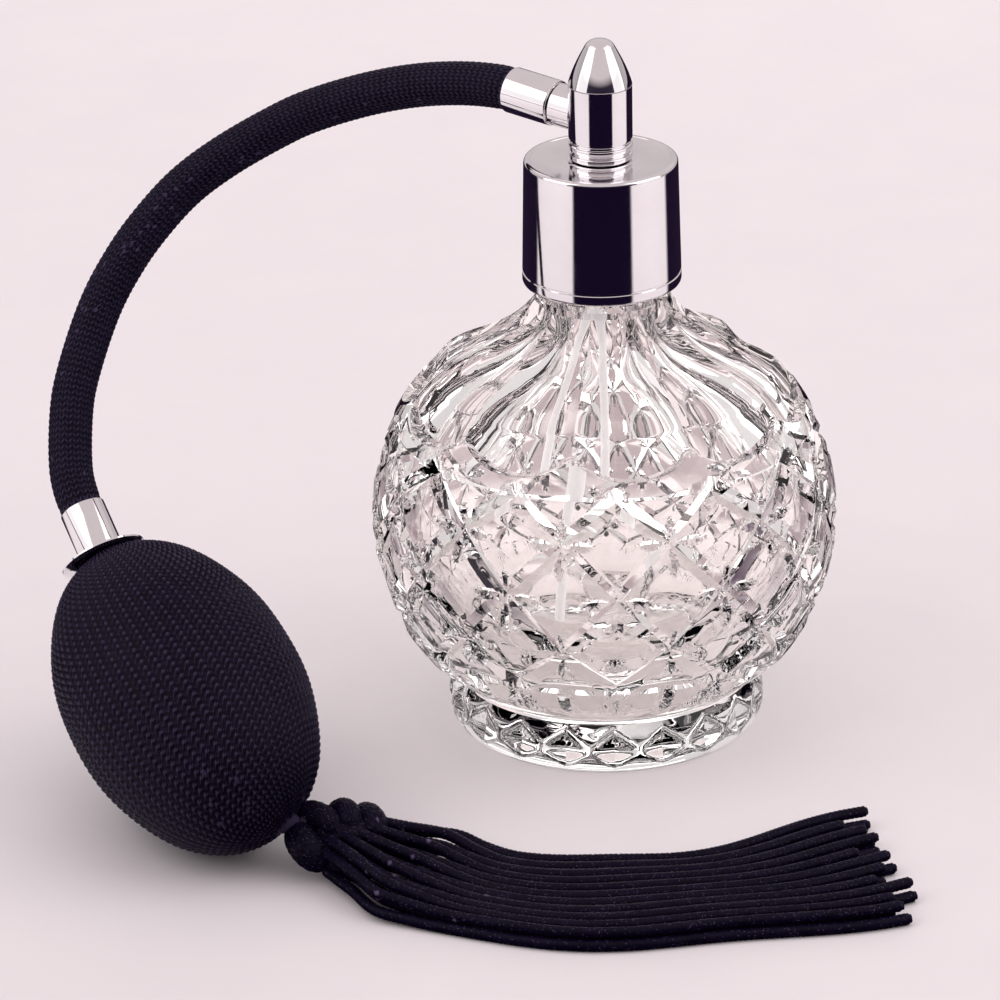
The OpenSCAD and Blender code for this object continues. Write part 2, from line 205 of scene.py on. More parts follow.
def even(path, step):
    """The same path with its points a fixed distance apart."""
    along = np.concatenate([[0], np.cumsum(np.linalg.norm(np.diff(path, axis=0), axis=1))])
    count = max(2, int(round(along[-1] / step)) + 1)
    at = np.linspace(0, along[-1], count)
    return np.stack([np.interp(at, along, path[:, k]) for k in range(3)], -1)


def length_of(path):
    return float(np.linalg.norm(np.diff(path, axis=0), axis=1).sum())


def frames(path, ref):
    """Directions along a path, with two sides that don't twist."""
    t = unit(np.gradient(path, axis=0))
    side = np.zeros_like(t)
    first = np.array(ref, float)
    side[0] = unit(first - (first @ t[0]) * t[0])
    for i in range(1, len(t)):
        s = side[i - 1] - (side[i - 1] @ t[i]) * t[i]
        side[i] = unit(s)
    return t, side, np.cross(t, side)


def tube(name, path, radius, cols, ref, relief, turn=0.0):
    """A swept tube with closed ends: a mesh object, or its points and faces where it has no name.

    radius is one value or one per ring. relief(around 0..1, along mm) gives what the surface loses, in mm.
    """
    t, u, v = frames(path, ref)
    rows = len(path)
    along = np.concatenate([[0], np.cumsum(np.linalg.norm(np.diff(path, axis=0), axis=1))])
    around = np.arange(cols) / cols
    r = np.broadcast_to(np.asarray(radius, float).reshape(-1, 1), (rows, cols))
    r = r - relief(around[None, :] + np.zeros((rows, 1)), along[:, None] + np.zeros((1, cols)))
    angle = around * TAU + turn
    verts = path[:, None, :] + r[..., None] * (np.cos(angle)[None, :, None] * u[:, None, :]
                                              + np.sin(angle)[None, :, None] * v[:, None, :])
    verts = np.concatenate([verts.reshape(-1, 3), [path[0] - END_DOME * t[0]], [path[-1] + END_DOME * t[-1]]])
    faces = [grid_quads(rows, cols), fan(np.arange(cols), rows * cols, flip=True),
             fan(np.arange(cols) + (rows - 1) * cols, rows * cols + 1)]
    return (verts, faces) if name is None else make_mesh(name, verts, faces)


# ---- Knitted surfaces: 0 in the gaps, 1 on top of the yarn ----
def knit_vee(u, v):
    """Two slanted legs to a stitch, as on the right side of a knit."""
    fu, fv = u % 1, v % 1
    top = np.zeros_like(fu)
    for middle, slant in ((0.25, 0.4), (0.75, -0.4)):
        c, s = math.cos(slant), math.sin(slant)
        for row in (-1, 0, 1):
            du, dv = fu - middle, fv - 0.5 - row
            q = ((du * c + dv * s) / 0.29) ** 2 + ((dv * c - du * s) / 0.72) ** 2
            top = np.maximum(top, np.sqrt(np.clip(1 - q, 0, 1)))
    return top


def knit_arc(u, v):
    """Rows of arched loops, as on the wrong side of a knit."""
    fu, fv = u % 1, v % 1
    wave = np.cos(TAU * fu)
    top = np.zeros_like(fu)
    for row in (-1, 0, 1, 2):
        q = ((fv - row - 0.3 * wave) / 0.36) ** 2
        top = np.maximum(top, np.sqrt(np.clip(1 - q, 0, 1)) * (0.68 + 0.32 * wave))
    return top


# ---- Camera ----
PITCH, ROLL = math.radians(23.567), math.radians(-1.073)
SENSOR, LENS = 36, 197.42
NEAREST, FARTHEST = 0.05, 20
CAMERA_AT = vec(-17.83, -859.5, 414.5)
camera_data = bpy.data.cameras.new("camera")
camera_data.sensor_width = SENSOR
camera_data.lens = LENS
camera_data.clip_start, camera_data.clip_end = NEAREST, FARTHEST
camera = bpy.data.objects.new("camera", camera_data)
scene.collection.objects.link(camera)
right0, down0 = vec(1, 0, 0), vec(0, -math.sin(PITCH), -math.cos(PITCH))
ahead = vec(0, math.cos(PITCH), -math.sin(PITCH))
right = math.cos(ROLL) * right0 - math.sin(ROLL) * down0
down = math.sin(ROLL) * right0 + math.cos(ROLL) * down0
spot = CAMERA_AT * MM
camera.matrix_world = Matrix([[right[k], -down[k], -ahead[k], spot[k]] for k in range(3)] + [[0, 0, 0, 1]])
scene.camera = camera

# ---- Places repeated from the CAD source ----
BODY_R, BODY_HALF, BODY_Z = 40.0, 38.5, 37.5
PORT, PORT_DIR = vec(0, 0, 108.6), heading(145.9, 5.4)
FERRULE_START, FERRULE_LEN, FERRULE_R, FERRULE_BORE = 8.7, 8.9, 3.9, 2.5
HOSE_R = 3.75
HOSE_TOP = PORT + (FERRULE_START + FERRULE_LEN) * PORT_DIR
FLANGE_AT, FLANGE_DIR = vec(-85.2, -13.3, 36.8), heading(122.2, 42.8)
LOWER_END = 8.9
HOSE_LOW = FLANGE_AT + LOWER_END * FLANGE_DIR
BULB_DIR, BULB_HALF, BULB_R = heading(115.2, 18), 33.3, 20.2
BULB_AT = vec(-70.8, -38.1, math.sqrt(BULB_R**2 + (BULB_HALF**2 - BULB_R**2) * BULB_DIR[2] ** 2))
KNOT_AT, GATHER_AT = vec(-47.3, -58.5, 6.2), vec(-55.5, -56.8, 10)
NECK_DIR = unit(KNOT_AT - GATHER_AT)

# ---- Cords: the hose in its knitted sleeve, and the tassel's strands ----
HOSE_ROUTE = np.array([
    HOSE_LOW + 0.04 * FLANGE_DIR, HOSE_LOW + 1.2 * FLANGE_DIR, [-90.5, -3.5, 47.5], [-90.5, 4, 56.5],
    [-89.5, 7.5, 61], [-85.5, 14.5, 71], [-81.5, 18, 77.5],
    [-77.5, 20.5, 82.5], [-71, 23, 89], [-64, 24, 94], [-54.5, 24, 99.5], [-49.5, 23.5, 102],
    [-39, 21, 106], [-30, 18, 108.5], [-21.5, 14, 110],
    HOSE_TOP + 1.2 * PORT_DIR, HOSE_TOP + 0.04 * PORT_DIR])
hose_line = spline(HOSE_ROUTE, FLANGE_DIR, -PORT_DIR)

STITCHES_ROUND_HOSE, HOSE_ROW = 18, 1.08


def hose_relief(around, along):
    swell = smooth(along / 2.5) * smooth((along_hose - along) / 2.5)
    return 0.34 * (1 - knit_vee(around * STITCHES_ROUND_HOSE, along / HOSE_ROW)) + 0.12 * (1 - swell)


hose_path = even(hose_line, HOSE_ROW / 4)
along_hose = length_of(hose_path)
hose = tube("knitted_hose_sleeve", hose_path, HOSE_R, STITCHES_ROUND_HOSE * 8, (0.56, 0.83, 0), hose_relief)
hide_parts("hose_sleeve")
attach(hose, "turret")

TASSEL_LEN, STRAND_R, LAYER_RISE = 91.0, 0.95, 1.75
KNOT_FACE = np.array([-43.0, -60.0])
STRAND_COLS = (6, 5, 6, 5)


def bundle_line(t):
    t = np.asarray(t, float)
    return np.stack([KNOT_FACE[0] + TASSEL_LEN * t,
                     KNOT_FACE[1] - 4 * t - 14.9 * np.sin(math.pi * np.power(t, 0.87))], -1)


def strand_points(row, col, t):
    """A strand's centreline: t is 0 at the knot and 1 at the tip of an average strand."""
    side = col - 2.5 + 0.5 * (row % 2)
    d = bundle_line(np.minimum(t + 0.01, 1)) - bundle_line(np.maximum(t - 0.01, 0))
    normal = unit(np.stack([-d[:, 1], d[:, 0]], -1))
    pitch = 2.4 + 2.4 * smooth(t / 0.12) + 1.6 * smooth((t - 0.55) / 0.45)
    shift = (0.25 if row > 1 else 0) * smooth(t / 0.16)
    wave = 0.7 * smooth(t / 0.3) * np.sin(np.radians(800 * t + 28 * side))
    flat = bundle_line(t) + ((side + shift) * pitch + wave)[:, None] * normal
    start, rest = 2.2 + LAYER_RISE * row, STRAND_R + 0.02 + (1.7 if row > 1 else 0)
    return np.concatenate([flat, (start + (rest - start) * smooth(t / 0.24))[:, None]], 1)


STRAND_ROW = 0.84


def strand_relief(around, along):
    return 0.2 * (1 - knit_vee(around * 3, along / STRAND_ROW))


strands = []
for row, cols in enumerate(STRAND_COLS):
    for col in range(cols):
        number = len(strands)
        side = col - 2.5 + 0.5 * (row % 2)
        reach = 0.95 + 0.012 * side + 0.03 * math.sin(math.radians(97 * number))
        route = strand_points(row, col, reach * np.linspace(0, 1, 18))
        line = spline(route, per=12)
        path = even(line, STRAND_ROW / 3.4)
        name = f"tassel_strand_{number + 1:02d}"
        taper = STRAND_R + 0.03 - 0.25 * (np.linspace(0, 1, len(path)) > 0.996)
        ob = tube(f"knitted_{name}", path, taper, 15, (0, 0, 1), strand_relief, turn=0.7 * number)
        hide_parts(name)
        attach(ob, "turret")
        strands.append(ob)

# ---- Glass: one closed mesh, cut outside and smooth inside ----
STARS, CELLS, FLUTES = 13, 20, 10
COLS = STARS * 2 * CELLS
STAR_STEP = TAU / STARS
FIRST_STAR = math.radians(1.7)
LEVELS = (19.5, 27.2, 37.6, 47.5, 54.5)
azimuth = FIRST_STAR + np.arange(COLS) * TAU / COLS
FLUTE_STEP = TAU / FLUTES
FIRST_RIDGE = FIRST_STAR - 18 * TAU / COLS
FLUTE_END_ROWS, SHOULDER_ROWS = 7, 20
LATTICE_CUT, LATTICE_SLOPE = 1.7, 0.8  # depth of the diamond lattice, and how steeply its sides rise
FOOT_PETALS, PETAL_MIDDLE, PETAL_HALF, PETAL_CUT = 20, 4.6, 3.6, 0.9


def globe_r(z):
    return BODY_R * np.sqrt(1 - ((z - BODY_Z) / BODY_HALF) ** 2)


def globe_run(z0, z1, steps):
    """Heights from z0 to z1 at even distances along the globe's outline."""
    z = np.linspace(z0, z1, 200)
    along = np.concatenate([[0], np.cumsum(np.hypot(np.diff(z), np.diff(globe_r(z))))])
    return np.interp(np.linspace(0, along[-1], steps + 1)[1:], along, z)


def outline():
    """The outside's (r, z) points from the rest face to the neck's top.

    With them come the numbers of the lattice's first and last rows, and of the shoulder's top row.
    """
    shoulder_z = 63.6
    points = [vec(22.5, 0.5), vec(23.2, 0.12), vec(24, 0), vec(25.5, 0)]
    points += list(bezier((25.7, 0.1), (27.9, 1.5), (27.6, 5.5), (25.9, 9), 14))
    points += list(bezier((25.9, 9), (25.9, 10.4), (29.4, 11.8), (globe_r(15.0), 15), 8))
    points += [vec(globe_r(z), z) for z in globe_run(15, LEVELS[0], 8)]
    first = len(points) - 1
    for low, high in zip(LEVELS[:-1], LEVELS[1:]):
        points += [vec(globe_r(z), z) for z in globe_run(low, high, CELLS)]
    last = len(points) - 1
    points += [vec(globe_r(z), z) for z in globe_run(LEVELS[-1], shoulder_z, SHOULDER_ROWS)]
    points += list(bezier((globe_r(shoulder_z), shoulder_z), (24, 68), (17.5, 67.6), (11.5, 76.8), 34))
    top = len(points) - 1
    points += [vec(*p) for p in (
        (11.5, 78), (11.1, 78.8), (10.3, 79.2), (10.3, 85.1), (10.95, 85.7), (10.95, 86.3), (10.3, 86.9),
        (10.3, 88.1), (10.95, 88.7), (10.95, 89.3), (10.3, 89.9), (10.3, 95), (10.15, 95.35), (9.8, 95.5))]
    return np.array(points), first, last, top


def near(angle, first, step):
    """The signed angle from the nearest of a ring of marks."""
    return (angle - first + step / 2) % step - step / 2


def leaf_cut(x, y, turn, length, width, slope=1.15):
    """A leaf-shaped mitre cut from the origin: deepest along its middle, pointed at both ends."""
    c, s = math.cos(turn), math.sin(turn)
    t, across = (x * c + y * s) / length, np.abs(y * c - x * s)
    half = width * np.sin(math.pi * np.clip(t, 0, 1) ** 0.8)
    return np.where((t > 0) & (t < 1), np.maximum(half - across, 0) * slope, 0)


def glass_surface():
    profile, first, last, top = outline()
    rows = len(profile)
    r0, z0 = profile[:, 0], profile[:, 1]
    dr, dz = np.gradient(r0), np.gradient(z0)
    out = unit(np.stack([dz, -dr], -1))
    along = np.concatenate([[0], np.cumsum(np.hypot(np.diff(r0), np.diff(z0)))])
    angle = np.broadcast_to(azimuth, (rows, COLS)).copy()

    # The rows between the lattice and the shoulder are bent so that one of them follows the flutes' round ends.
    flute = near(angle, FIRST_RIDGE + FLUTE_STEP / 2, FLUTE_STEP) / (FLUTE_STEP / 2)
    end_row = last + FLUTE_END_ROWS
    shoulder_row = last + SHOULDER_ROWS
    low_end, rise = along[last] + 2.9, 3.9
    edge = low_end + rise * np.abs(flute[0]) ** 2.2
    s = np.broadcast_to(along[:, None], (rows, COLS)).copy()
    k = np.arange(rows)[:, None]
    below = (k > last) & (k <= end_row)
    above = (k > end_row) & (k < shoulder_row)
    s = np.where(below, along[last] + (edge - along[last]) * (k - last) / (end_row - last), s)
    s = np.where(above, edge + (along[shoulder_row] - edge) * (k - end_row) / (shoulder_row - end_row), s)
    r, z = np.interp(s, along, r0), np.interp(s, along, z0)
    nr, nz = np.interp(s, along, out[:, 0]), np.interp(s, along, out[:, 1])

    # Mitre cuts of the diamond lattice
    i, j = np.arange(COLS)[None, :], np.arange(rows)[:, None] - first
    half = CELLS
    up = np.abs((i + j + half) % (2 * half) - half)
    over = np.abs((j - i + half) % (2 * half) - half)
    step = s[1:, :1] - s[:-1, :1]
    dy = np.concatenate([step, step[-1:]])
    dx = r * TAU / COLS
    across = dx * dy / np.hypot(dx, dy)
    inside = (j >= 0) & (j <= 4 * CELLS)
    groove = np.maximum(0, LATTICE_CUT - LATTICE_SLOPE * np.minimum(up, over) * across)
    depth = np.where(inside, groove, 0)
    # The flat of each diamond
    to_mid_u = ((i + j) % (2 * half) - half) / half
    to_mid_v = ((j - i) % (2 * half) - half) / half
    bulge = np.clip((1 - to_mid_u**2) * (1 - to_mid_v**2), 0, 1)
    depth = np.where(inside, np.maximum(depth, 0.62 * bulge), depth)
    # Ends of the cuts at the top and bottom points
    for level in (4 * CELLS, 0):
        x = r * near(angle, FIRST_STAR, STAR_STEP)
        y = s - along[first + level]
        tip = np.maximum(0, LATTICE_CUT - LATTICE_SLOPE * np.hypot(x, y))
        depth = np.where(inside, depth, np.maximum(depth, tip))
    # Stars on the crossings
    for level, odd, down in ((1, 1, 1.0), (2, 0, 1.3), (3, 1, 1.15)):
        x = r * near(angle, FIRST_STAR + odd * STAR_STEP / 2, STAR_STEP)
        y = s - along[first + level * CELLS]
        scale = globe_r(LEVELS[level]) / BODY_R
        for turn, length, width in (
                (0, 6.8, 1.4), (180, 6.8, 1.4), (90, 5.2, 1.25), (270, 6.2 * down, 1.4),
                (247, 5.4 * down, 0.8), (293, 5.4 * down, 0.8), (22, 4.6, 0.7), (158, 4.6, 0.7)):
            depth = np.maximum(depth, leaf_cut(x, y, math.radians(turn), length * scale, width))
    # Fans below the lattice, down to the waist
    x = near(angle, FIRST_STAR, STAR_STEP)
    y = s - along[first]
    for lean in (-0.5, -0.25, 0, 0.25, 0.5):
        spread = x - lean * 0.2 * np.clip(-y / 8, 0, 1)
        fan_cut = np.maximum(0, 0.75 - 0.9 * np.abs(spread) * r) * smooth(-y / 1.5) * smooth((y + 9) / 3)
        depth = np.maximum(depth, fan_cut)
    x = near(angle, FIRST_STAR + STAR_STEP / 2, STAR_STEP)
    between = np.maximum(0, 1.0 - 0.6 * np.abs(x) * r) * smooth((y + 9.5) / 4)
    depth = np.maximum(depth, np.where(y < 0, between, 0))
    # Flutes: hollow across, sharp between, with a steep round end
    hollow = 0.135 * r * FLUTE_STEP * (1 - flute**2)
    past = s - edge[None, :]
    ramp = np.clip(past / 0.9, 0, 1) ** 0.7
    fade = smooth((along[top] + 1.5 - s) / 6)
    depth = np.where(past > 0, np.maximum(depth, hollow * ramp * (0.35 + 0.65 * fade) * (s <= along[top])), depth)
    # Foot: a ring of pointed petals
    petal = near(angle, FIRST_STAR, TAU / FOOT_PETALS) / (TAU / (2 * FOOT_PETALS))
    foot = smooth((z - 0.3) / 1.2) * smooth((8.6 - z) / 2)
    point = np.clip(1 - np.abs(petal) - np.abs(z - PETAL_MIDDLE) / PETAL_HALF, 0, 1)
    depth = np.maximum(depth, PETAL_CUT * point * foot * (z < 9))

    r, z = r - depth * nr, z - depth * nz
    z = np.maximum(z, 0)
    verts = np.stack([r * np.sin(angle), -r * np.cos(angle), z], -1).reshape(-1, 3)
    quads = grid_quads(rows, COLS)
    # Lattice cells are split along their nearer cut
    row_of = quads[:, 0] // COLS
    lattice = (row_of >= first) & (row_of < last)
    cells = quads[lattice]
    ci, cj = (cells[:, 0] % COLS) + 0.5, cells[:, 0] // COLS - first + 0.5
    rising = np.abs((ci + cj + half) % (2 * half) - half) < np.abs((cj - ci + half) % (2 * half) - half)
    a, b, c, d = cells.T
    tris = np.concatenate([
        np.stack([a, b, d], -1)[rising], np.stack([b, c, d], -1)[rising],
        np.stack([a, b, c], -1)[~rising], np.stack([a, c, d], -1)[~rising]])
    return verts, [quads[~lattice], tris], rows


def cavity(base, cols):
    """The smooth inside, from the mouth down to the floor, with faces that look inwards."""
    r, floor_z, half, high = 33.5, 10.0, 27.5, math.radians(62)
    middle = floor_z + half
    mouth = 6.5
    a = np.linspace(-math.pi / 2, high, 40)[1:]
    points = [vec(r * math.cos(t), middle + half * math.sin(t)) for t in a]
    points += list(bezier(points[-1], (11, 64.5), (mouth, 66), (mouth, 71), 12))
    points += [vec(mouth, 80), vec(mouth, 95), vec(6.65, 95.35), vec(7, 95.5)]
    points = np.array(points)[::-1]
    turn = FIRST_STAR + np.arange(cols) * TAU / cols
    verts = np.stack([points[:, :1] * np.sin(turn), -points[:, :1] * np.cos(turn),
                      points[:, 1:] + np.zeros(cols)], -1).reshape(-1, 3)
    verts = np.concatenate([verts, [[0, 0, floor_z]]])
    rows = len(points)
    faces = [grid_quads(rows, cols, base), fan(base + (rows - 1) * cols + np.arange(cols), base + rows * cols)]
    return verts, faces


glass_verts, glass_faces, glass_rows = glass_surface()
inner_cols = COLS // 4
inner_verts, inner_faces = cavity(len(glass_verts), inner_cols)
mouth_ring = (glass_rows - 1) * COLS
k = np.arange(inner_cols)
mouth_faces = np.stack([mouth_ring + 4 * k + n for n in range(4)]
                       + [mouth_ring + (4 * k + 4) % COLS, len(glass_verts) + (k + 1) % inner_cols,
                          len(glass_verts) + k], -1)
base_point = len(glass_verts) + len(inner_verts)
glass = make_mesh("cut_glass_globe", np.concatenate([glass_verts, inner_verts, [[0, 0, 0.9]]]),
                  [*glass_faces, *inner_faces, mouth_faces, fan(np.arange(COLS), base_point, flip=True)], sharp=21)
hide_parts("glass_bottle")
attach(glass, "bottle")


# ---- Chrome ----
def chrome_piece(name, profile, node, body, at=(0, 0, 0), axis=(0, 0, 1), cols=160, sharp=24):
    ob = lathe(name, profile, at, axis, cols, sharp)
    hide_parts(node)
    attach(ob, body)
    return ob


chrome = [
    chrome_piece("collar_cap", rounded([
        (12.8, 79.95), (13.2, 79.9), (13.4, 80.25), (13.37, 81.6), (13.2, 81.75), (13.2, 81.95),
        (13.36, 82.1), (12.92, 101.4), (11.9, 101.4), (11.75, 101.22), (5.7, 101.22), (5.6, 101.38),
        (3.5, 101.38), (3.5, 100.4), (12.3, 100.4)],
        {1: 0.1, 2: 0.2, 7: 0.75, 8: 0.1, 9: 0.1, 10: 0.08, 11: 0.08}), "collar_shell", "collar"),
    chrome_piece("turret_foot_ring", rounded([
        (3.2, 101.55), (5.05, 101.55), (5.35, 101.85), (5.35, 102.55), (4.95, 102.72), (4.95, 103.15),
        (5.35, 103.32), (5.35, 104.1), (5.0, 104.3), (5.0, 104.75), (5.2, 104.95), (5.2, 105.25), (3.2, 105.25)],
        {1: 0.1, 2: 0.1, 3: 0.1, 4: 0.08, 5: 0.08, 6: 0.1, 7: 0.1, 8: 0.08, 9: 0.08}), "swivel_ring", "turret"),
    chrome_piece("turret_dome", rounded([
        (0, 111.8), (3.15, 111.8), (3.15, 114.32), (5.25, 114.32), (5.35, 114.5)], {3: 0.08})
        + list(bezier((5.35, 114.5), (4.7, 117), (3.4, 119.4), (2.5, 121), 16))
        + list(bezier((2.5, 121), (2.2, 121.7), (1.4, 122.2), (0, 122.2), 12)), "turret_tip", "turret"),
    chrome_piece("hose_ferrule_upper", rounded([
        (FERRULE_BORE, FERRULE_START), (FERRULE_R, FERRULE_START), (FERRULE_R, FERRULE_START + FERRULE_LEN),
        (FERRULE_BORE, FERRULE_START + FERRULE_LEN)], {1: 0.25, 2: 0.3}),
        "upper_ferrule", "turret", PORT, PORT_DIR, cols=128),
    chrome_piece("hose_ferrule_lower", rounded([
        (FERRULE_BORE, 0.55), (FERRULE_R, 0.55), (FERRULE_R, LOWER_END),
        (FERRULE_BORE, LOWER_END)], {1: 0.2, 2: 0.3}),
        "lower_ferrule", "turret", FLANGE_AT, FLANGE_DIR, cols=128),
]


def soft_bulb(ob, slot, *nodes):
    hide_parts(*nodes)
    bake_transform(ob)


bulb_side, bulb_up = basis(BULB_DIR)


def on_bulb(sphere, off=0.0):
    """Points of a unit sphere, in the bulb's own axes, put on its surface or off mm outside it."""
    q = sphere * vec(BULB_R, BULB_R, BULB_HALF)
    normal = unit(sphere / vec(BULB_R, BULB_R, BULB_HALF))
    q = q + normal * np.asarray(off)[..., None]
    return BULB_AT + q[..., :1] * bulb_side + q[..., 1:2] * bulb_up + q[..., 2:] * BULB_DIR


def to_bulb(point):
    d = np.asarray(point) - BULB_AT
    return unit(vec(d @ bulb_side / BULB_R, d @ bulb_up / BULB_R, d @ BULB_DIR / BULB_HALF))


def rubber_shell():
    cols, rows = 96, 60
    polar = np.linspace(0, math.pi, rows + 2)[1:-1]
    turn = np.arange(cols) * TAU / cols
    sphere = np.stack([np.sin(polar)[:, None] * np.cos(turn), np.sin(polar)[:, None] * np.sin(turn),
                       -np.cos(polar)[:, None] + 0 * turn], -1)
    verts, faces, base = [], [], 0
    for off, flip in ((-0.95, False), (-3.1, True)):
        shell = on_bulb(sphere, off).reshape(-1, 3)
        poles = on_bulb(np.array([[0, 0, -1.0], [0, 0, 1.0]]), off)
        verts += [shell, poles]
        ends = base + rows * cols
        faces += [grid_quads(rows, cols, base, flip), fan(base + np.arange(cols), ends, not flip),
                  fan(base + (rows - 1) * cols + np.arange(cols), ends + 1, flip)]
        base = ends + 2
    return make_mesh("rubber_bulb_wall", np.concatenate(verts), faces)


rubber = rubber_shell()
soft_bulb(rubber, "bulb_rubber", "rubber_bulb", "bulb_thumb_wall")

NET_STITCHES, NET_COLS = 64, 384
NET_ROWS_MM = 1.3
NET_NECK, NET_PLEATS = 6.4, 14


def net_sheet():
    """The knitted net: rings run from the knot's neck, round the bulb, to the flange under the ferrule."""
    pole, tail = to_bulb(FLANGE_AT), to_bulb(GATHER_AT)
    e1, e2 = basis(pole)

    def flatten(s):
        return ((s @ e1) + 1j * (s @ e2)) / (1 - s @ pole)

    def lift(w):
        w = np.asarray(w)
        m = np.abs(w) ** 2
        top = 2 * w.real[..., None] * e1 + 2 * w.imag[..., None] * e2 + (m - 1)[..., None] * pole
        return top / (m + 1)[..., None]

    zero = flatten(tail)
    turn = np.arange(NET_COLS) * TAU / NET_COLS
    spin = np.exp(1j * turn)

    def ring(size, off=0.0):
        return on_bulb(lift(zero + size * spin), off)

    def width(size):
        p = ring(size)
        return np.linalg.norm(p - p.mean(0), axis=1).mean()

    def size_for(target, low, high):
        for _ in range(60):
            mid = math.sqrt(low * high)
            if (width(mid) < target) == (low < high):
                low = mid
            else:
                high = mid
        return low

    smallest, largest = size_for(2.45, 1e-4, 1.0), size_for(6.0, 1e4, 1.0)
    sizes = np.exp(np.linspace(math.log(smallest), math.log(largest), 400))
    lines = np.stack([on_bulb(lift(zero + q * np.exp(1j * np.arange(8) * TAU / 8))) for q in sizes])
    run = np.concatenate([[0], np.cumsum(np.linalg.norm(np.diff(lines, axis=0), axis=2).mean(1))])
    count = int(run[-1] / (NET_ROWS_MM / 4))
    steps = np.interp(np.linspace(0, run[-1], count), run, np.arange(len(sizes)))
    picked = np.exp(np.interp(steps, np.arange(len(sizes)), np.log(sizes)))
    along = np.linspace(0, run[-1], count)

    u = turn / TAU * NET_STITCHES
    outer = []
    for size, s in zip(picked, along):
        near_neck = smooth(1 - s / 12)
        under_flange = smooth((s - run[-1] + 2.5) / 2.5)
        fine = 1 - 0.55 * near_neck
        relief = knit_arc(u + 0 * s, np.full_like(u, s / NET_ROWS_MM))
        pleat = 0.35 * near_neck * np.cos(NET_PLEATS * turn)
        wobble = 0.12 * np.sin(3 * turn + s * 0.21) * np.sin(s * 0.13)
        off = (-0.62 + 0.58 * relief * fine - 0.05 - 0.3 * near_neck + pleat * 0.6
               + wobble * (1 - under_flange))
        outer.append(ring(size, np.minimum(off, 0.02)))
    # The neck goes on from the smallest ring to the knot
    first = outer[0]
    centre = first.mean(0)
    spokes = first - centre
    spokes = unit(spokes - (spokes @ NECK_DIR)[:, None] * NECK_DIR)
    neck = []
    for step in range(24):
        t = (24 - step) / 24
        s = -t * NET_NECK
        radius = 2.35 - 0.28 * (1 - knit_arc(u * 0.5, np.full_like(u, s))) + 0.12 * np.cos(NET_PLEATS * turn)
        straight = GATHER_AT + (t * NET_NECK) * NECK_DIR + radius[:, None] * spokes
        join = smooth((1 - t) * 4 - 2.6)
        neck.append(straight * (1 - join) + first * join)
    rows_out = neck + outer
    inner_sizes = np.exp(np.linspace(math.log(smallest), math.log(largest), 26))[::-1]
    inner = [ring(q, np.full(NET_COLS, -0.85)) for q in inner_sizes]
    verts = np.concatenate(rows_out + inner)
    rows = len(rows_out)
    total = rows + len(inner)
    faces = [grid_quads(total, NET_COLS)]
    # Close the run back on itself: the inner sheet's last ring meets the neck's first through a small throat ring
    throat = GATHER_AT + NET_NECK * NECK_DIR + 1.2 * spokes
    verts = np.concatenate([verts, throat])
    base = total * NET_COLS
    n = np.arange(NET_COLS)
    after = (n + 1) % NET_COLS
    end = (total - 1) * NET_COLS
    faces.append(np.stack([end + n, end + after, base + after, base + n], -1))
    faces.append(np.stack([base + n, base + after, after, n], -1))
    return make_mesh("knitted_bulb_net", verts, faces)


net = net_sheet()
soft_bulb(net, "black_net", "bulb_net")

# ---- Binding thread and knot ----
bind_side, bind_up = basis(NECK_DIR)
coil = np.linspace(0, 2.6, 120)
bind_path = (GATHER_AT + (4.5 + coil * 0.34)[:, None] * NECK_DIR
             + 2.72 * (np.cos(coil * TAU)[:, None] * bind_side + np.sin(coil * TAU)[:, None] * bind_up))
binding = tube("binding_thread", bind_path, 0.24, 10, NECK_DIR,
               lambda a, s: 0.05 * (0.5 + 0.5 * np.cos(TAU * (a * 2 + s / 0.9))))
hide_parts("net_binding")
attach(binding, "turret")


def knot_relief(around, along):
    return 0.3 * (1 - knit_vee(around * 12, along / 0.95))


KNOT_LOBES = (
    (((-52.6, -57.3, 8.9), (-49.6, -58.2, 9.8), (-46.9, -59.6, 8.9), (-45.6, -61.3, 6.2)), 2.2),
    (((-51.2, -57.6, 7.2), (-51.3, -60.8, 6.4), (-49.4, -62.7, 4.6), (-46.2, -62.3, 3.2)), 2.9),
    (((-46.2, -55.0, 4.6), (-45.0, -55.4, 8.2), (-43.9, -57.8, 9.3), (-43.0, -60.9, 7.2)), 2.4),
    (((-41.6, -53.9, 4.2), (-40.9, -54.6, 7.0), (-39.8, -57.2, 7.3), (-39.2, -60.2, 5.4)), 2.6),
    (((-46.8, -61.6, 3.2), (-43.8, -63.9, 3.3), (-40.8, -63.9, 3.5), (-38.6, -61.6, 4.2)), 2.85),
    (((-50.2, -58.2, 6.6), (-46.5, -58.6, 5.9), (-43.0, -59.0, 5.4), (-39.6, -59.4, 5.0)), 4.1),
)
knot_verts, knot_faces, base = [], [], 0
for points, thick in KNOT_LOBES:
    path = even(spline(points), 0.24)
    t = np.linspace(-1, 1, len(path))
    full = thick * np.maximum(0.12, 1 - np.abs(t) ** 3.2) ** 0.5
    verts, faces = tube(None, path, full, 96, (0.3, 0.5, 0.8), knot_relief)
    verts[:, 2] = np.maximum(verts[:, 2], 0.05)
    knot_verts.append(verts)
    knot_faces += [f + base for f in faces]
    base += len(verts)
knot = make_mesh("knitted_knot", np.concatenate(knot_verts), knot_faces)
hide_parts("tassel_knot")
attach(knot, "turret")

